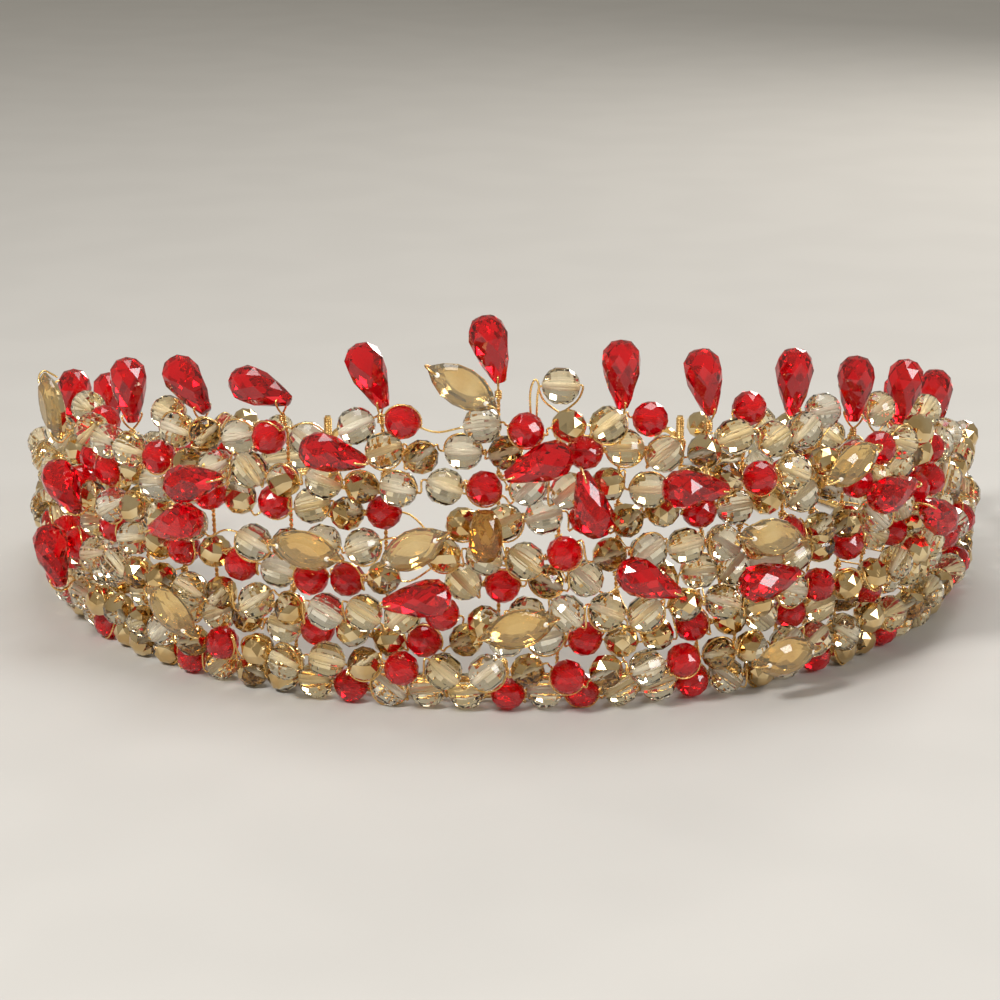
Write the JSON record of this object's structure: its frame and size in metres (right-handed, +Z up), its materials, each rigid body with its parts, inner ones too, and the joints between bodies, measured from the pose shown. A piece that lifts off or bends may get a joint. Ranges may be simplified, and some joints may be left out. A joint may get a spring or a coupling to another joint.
{
  "type": "beaded wire crown",
  "caption": "Open horseshoe crown of wire-threaded faceted red, clear and gold-plated glass beads with teardrop stones standing on wire loops along its crest",
  "frame": {"origin": "middle of the crown's box at the plane it stands on", "axes": "+Z up, the tall front faces -Y, the open back faces +Y, +X is the viewer's right when facing the front"},
  "size_m": [0.1692, 0.1633, 0.0636],
  "materials": {
    "clear_glass": "clear, faintly champagne, machine-cut facets, polished",
    "red_glass": "saturated siam red, machine-cut facets, polished",
    "plated_glass": "clear glass half mirror-plated in light gold, faceted",
    "topaz_glass": "smoky topaz, polished",
    "gold_wire": "thin gold-coloured craft wire, bright, twisted in places"
  },
  "bodies": {
    "crown": {"base_hoop": "gold_wire", "end_post_left": "gold_wire", "end_post_right": "gold_wire", "end_ring_left": "gold_wire", "end_ring_right": "gold_wire", "strand_wire_1": "gold_wire", "strand_wire_2": "gold_wire", "strand_wire_3": "gold_wire", "strand_wire_4": "gold_wire", "strand_wire_5": "gold_wire", "strand_wire_6": "gold_wire", "strand_wire_7": "gold_wire", "strand_wire_8": "gold_wire", "strand_wire_9": "gold_wire", "strand_wire_10": "gold_wire", "clear_beads_lower": "clear_glass", "clear_beads_middle": "clear_glass", "clear_beads_upper": "clear_glass", "red_beads_lower": "red_glass", "red_beads_middle": "red_glass", "red_beads_upper": "red_glass", "plated_beads_lower": "plated_glass", "plated_beads_middle": "plated_glass", "plated_beads_upper": "plated_glass", "crest_wires": "gold_wire", "crest_bead_wires": "gold_wire", "crest_beads_clear": "clear_glass", "crest_beads_red": "red_glass", "body_drops": "red_glass", "body_drop_ties": "gold_wire", "navette_stones": "clear_glass", "navette_ties": "gold_wire", "topaz_bead": "topaz_glass"},
    "drop_1": {"crest_drop_1": "red_glass"},
    "drop_2": {"crest_drop_2": "red_glass"},
    "drop_3": {"crest_drop_3": "red_glass"},
    "drop_4": {"crest_drop_4": "red_glass"},
    "drop_5": {"crest_drop_5": "red_glass"},
    "drop_6": {"crest_drop_6": "red_glass"},
    "drop_7": {"crest_drop_7": "red_glass"},
    "drop_8": {"crest_drop_8": "red_glass"},
    "drop_9": {"crest_drop_9": "red_glass"},
    "drop_10": {"crest_drop_10": "red_glass"},
    "drop_11": {"crest_drop_11": "red_glass"},
    "drop_12": {"crest_drop_12": "red_glass"},
    "drop_13": {"crest_drop_13": "red_glass"},
    "drop_14": {"crest_drop_14": "red_glass"}
  },
  "joints": [
    {"name": "drop_1_tilt", "type": "hinge", "parent": "crown", "child": "drop_1", "pos_m": [-0.07338, 0.02757, 0.0218], "axis": [0.9659, -0.2588, 0], "range_deg": [-15, 15]},
    {"name": "drop_2_tilt", "type": "hinge", "parent": "crown", "child": "drop_2", "pos_m": [-0.07584, -0.00006, 0.02901], "axis": [0.9945, 0.1045, 0], "range_deg": [-15, 15]},
    {"name": "drop_3_tilt", "type": "hinge", "parent": "crown", "child": "drop_3", "pos_m": [-0.06126, -0.03825, 0.04005], "axis": [0.7986, 0.6018, 0], "range_deg": [-15, 15]},
    {"name": "drop_4_tilt", "type": "hinge", "parent": "crown", "child": "drop_4", "pos_m": [-0.04839, -0.05185, 0.04497], "axis": [0.6293, 0.7771, 0], "range_deg": [-5, 15]},
    {"name": "drop_5_tilt", "type": "hinge", "parent": "crown", "child": "drop_5", "pos_m": [-0.03497, -0.06073, 0.04836], "axis": [0.454, 0.891, 0], "range_deg": [-5, 20]},
    {"name": "drop_6_tilt", "type": "hinge", "parent": "crown", "child": "drop_6", "pos_m": [-0.0193, -0.06672, 0.04957], "axis": [0.2504, 0.9681, 0], "range_deg": [-15, 15]},
    {"name": "drop_7_tilt", "type": "hinge", "parent": "crown", "child": "drop_7", "pos_m": [-0.00108, -0.06935, 0.0543], "axis": [0.014, 0.9999, 0], "range_deg": [-15, 15]},
    {"name": "drop_8_tilt", "type": "hinge", "parent": "crown", "child": "drop_8", "pos_m": [0.01813, -0.06702, 0.04968], "axis": [-0.2351, 0.972, 0], "range_deg": [-15, 15]},
    {"name": "drop_9_tilt", "type": "hinge", "parent": "crown", "child": "drop_9", "pos_m": [0.03193, -0.06215, 0.0474], "axis": [-0.4147, 0.91, 0], "range_deg": [-15, 15]},
    {"name": "drop_10_tilt", "type": "hinge", "parent": "crown", "child": "drop_10", "pos_m": [0.04575, -0.05392, 0.04531], "axis": [-0.5948, 0.8039, 0], "range_deg": [-15, 15]},
    {"name": "drop_11_tilt", "type": "hinge", "parent": "crown", "child": "drop_11", "pos_m": [0.0566, -0.04395, 0.04171], "axis": [-0.7373, 0.6756, 0], "range_deg": [-15, 15]},
    {"name": "drop_12_tilt", "type": "hinge", "parent": "crown", "child": "drop_12", "pos_m": [0.06568, -0.03156, 0.03821], "axis": [-0.8572, 0.515, 0], "range_deg": [-15, 15]},
    {"name": "drop_13_tilt", "type": "hinge", "parent": "crown", "child": "drop_13", "pos_m": [0.07516, -0.00534, 0.03053], "axis": [-0.9848, 0.1736, 0], "range_deg": [-15, 15]},
    {"name": "drop_14_tilt", "type": "hinge", "parent": "crown", "child": "drop_14", "pos_m": [0.07302, 0.02885, 0.0215], "axis": [-0.9613, -0.2756, 0], "range_deg": [-15, 15]}
  ]
}
